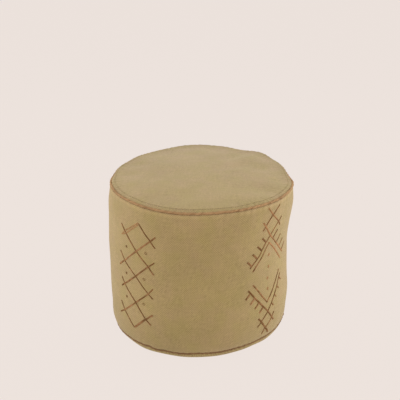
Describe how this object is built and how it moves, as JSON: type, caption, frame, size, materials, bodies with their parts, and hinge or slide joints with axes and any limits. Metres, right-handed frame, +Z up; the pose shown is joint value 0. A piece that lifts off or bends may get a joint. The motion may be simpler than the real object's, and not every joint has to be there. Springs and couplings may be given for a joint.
{
  "type": "round floor pouf",
  "caption": "Round drum-shaped floor pouf: a piped cloth cover with raised embroidery over a stuffed inner bag, closed by a zip across its base.",
  "frame": {"origin": "centre of the base, on the floor that the pouf stands on", "axes": "+Z up the pouf's axis; -Y is the front, between the two embroidered motifs; the zip runs along X"},
  "size_m": [0.4564, 0.4564, 0.401],
  "materials": {
    "canvas": "matte",
    "piping_cloth": "satin",
    "cotton_cord": "matte",
    "sewing_thread": "satin",
    "embroidery_thread": "satin",
    "zip_tape": "matte",
    "zip_coil": "satin",
    "zip_metal": "satin",
    "lining": "matte",
    "stuffing": "matte"
  },
  "bodies": {
    "pouf": {"top_panel": "canvas", "side_band": "canvas", "base_panel_front": "canvas", "base_panel_back": "canvas", "top_piping_cover": "piping_cloth", "top_piping_cord": "cotton_cord", "base_piping_cover": "piping_cloth", "base_piping_cord": "cotton_cord", "top_stitch_thread": "sewing_thread", "top_seam_thread": "sewing_thread", "base_seam_thread": "sewing_thread", "side_seam_thread": "sewing_thread", "zip_thread_front": "sewing_thread", "zip_thread_back": "sewing_thread", "lattice_embroidery_front": "embroidery_thread", "lattice_embroidery_back": "embroidery_thread", "arrow_embroidery_front": "embroidery_thread", "arrow_embroidery_back": "embroidery_thread", "zip_tape_front": "zip_tape", "zip_tape_back": "zip_tape", "zip_coil_front": "zip_coil", "zip_coil_back": "zip_coil", "zip_closed_stops": "zip_metal", "zip_open_stop": "zip_metal", "bag_base": "lining", "bag_side": "lining", "bag_top": "lining", "stuffing": "stuffing"},
    "slider": {"zip_slider": "zip_metal"},
    "pull": {"zip_pull": "zip_metal"}
  },
  "joints": [
    {"name": "zip_slide", "type": "slide", "parent": "pouf", "child": "slider", "axis": [1, 0, 0], "range_m": [0, 0.29]},
    {"name": "pull_hinge", "type": "hinge", "parent": "slider", "child": "pull", "pos_m": [-0.148, 0, 0.0036], "axis": [0, 1, 0], "range_deg": [0, 180]}
  ]
}
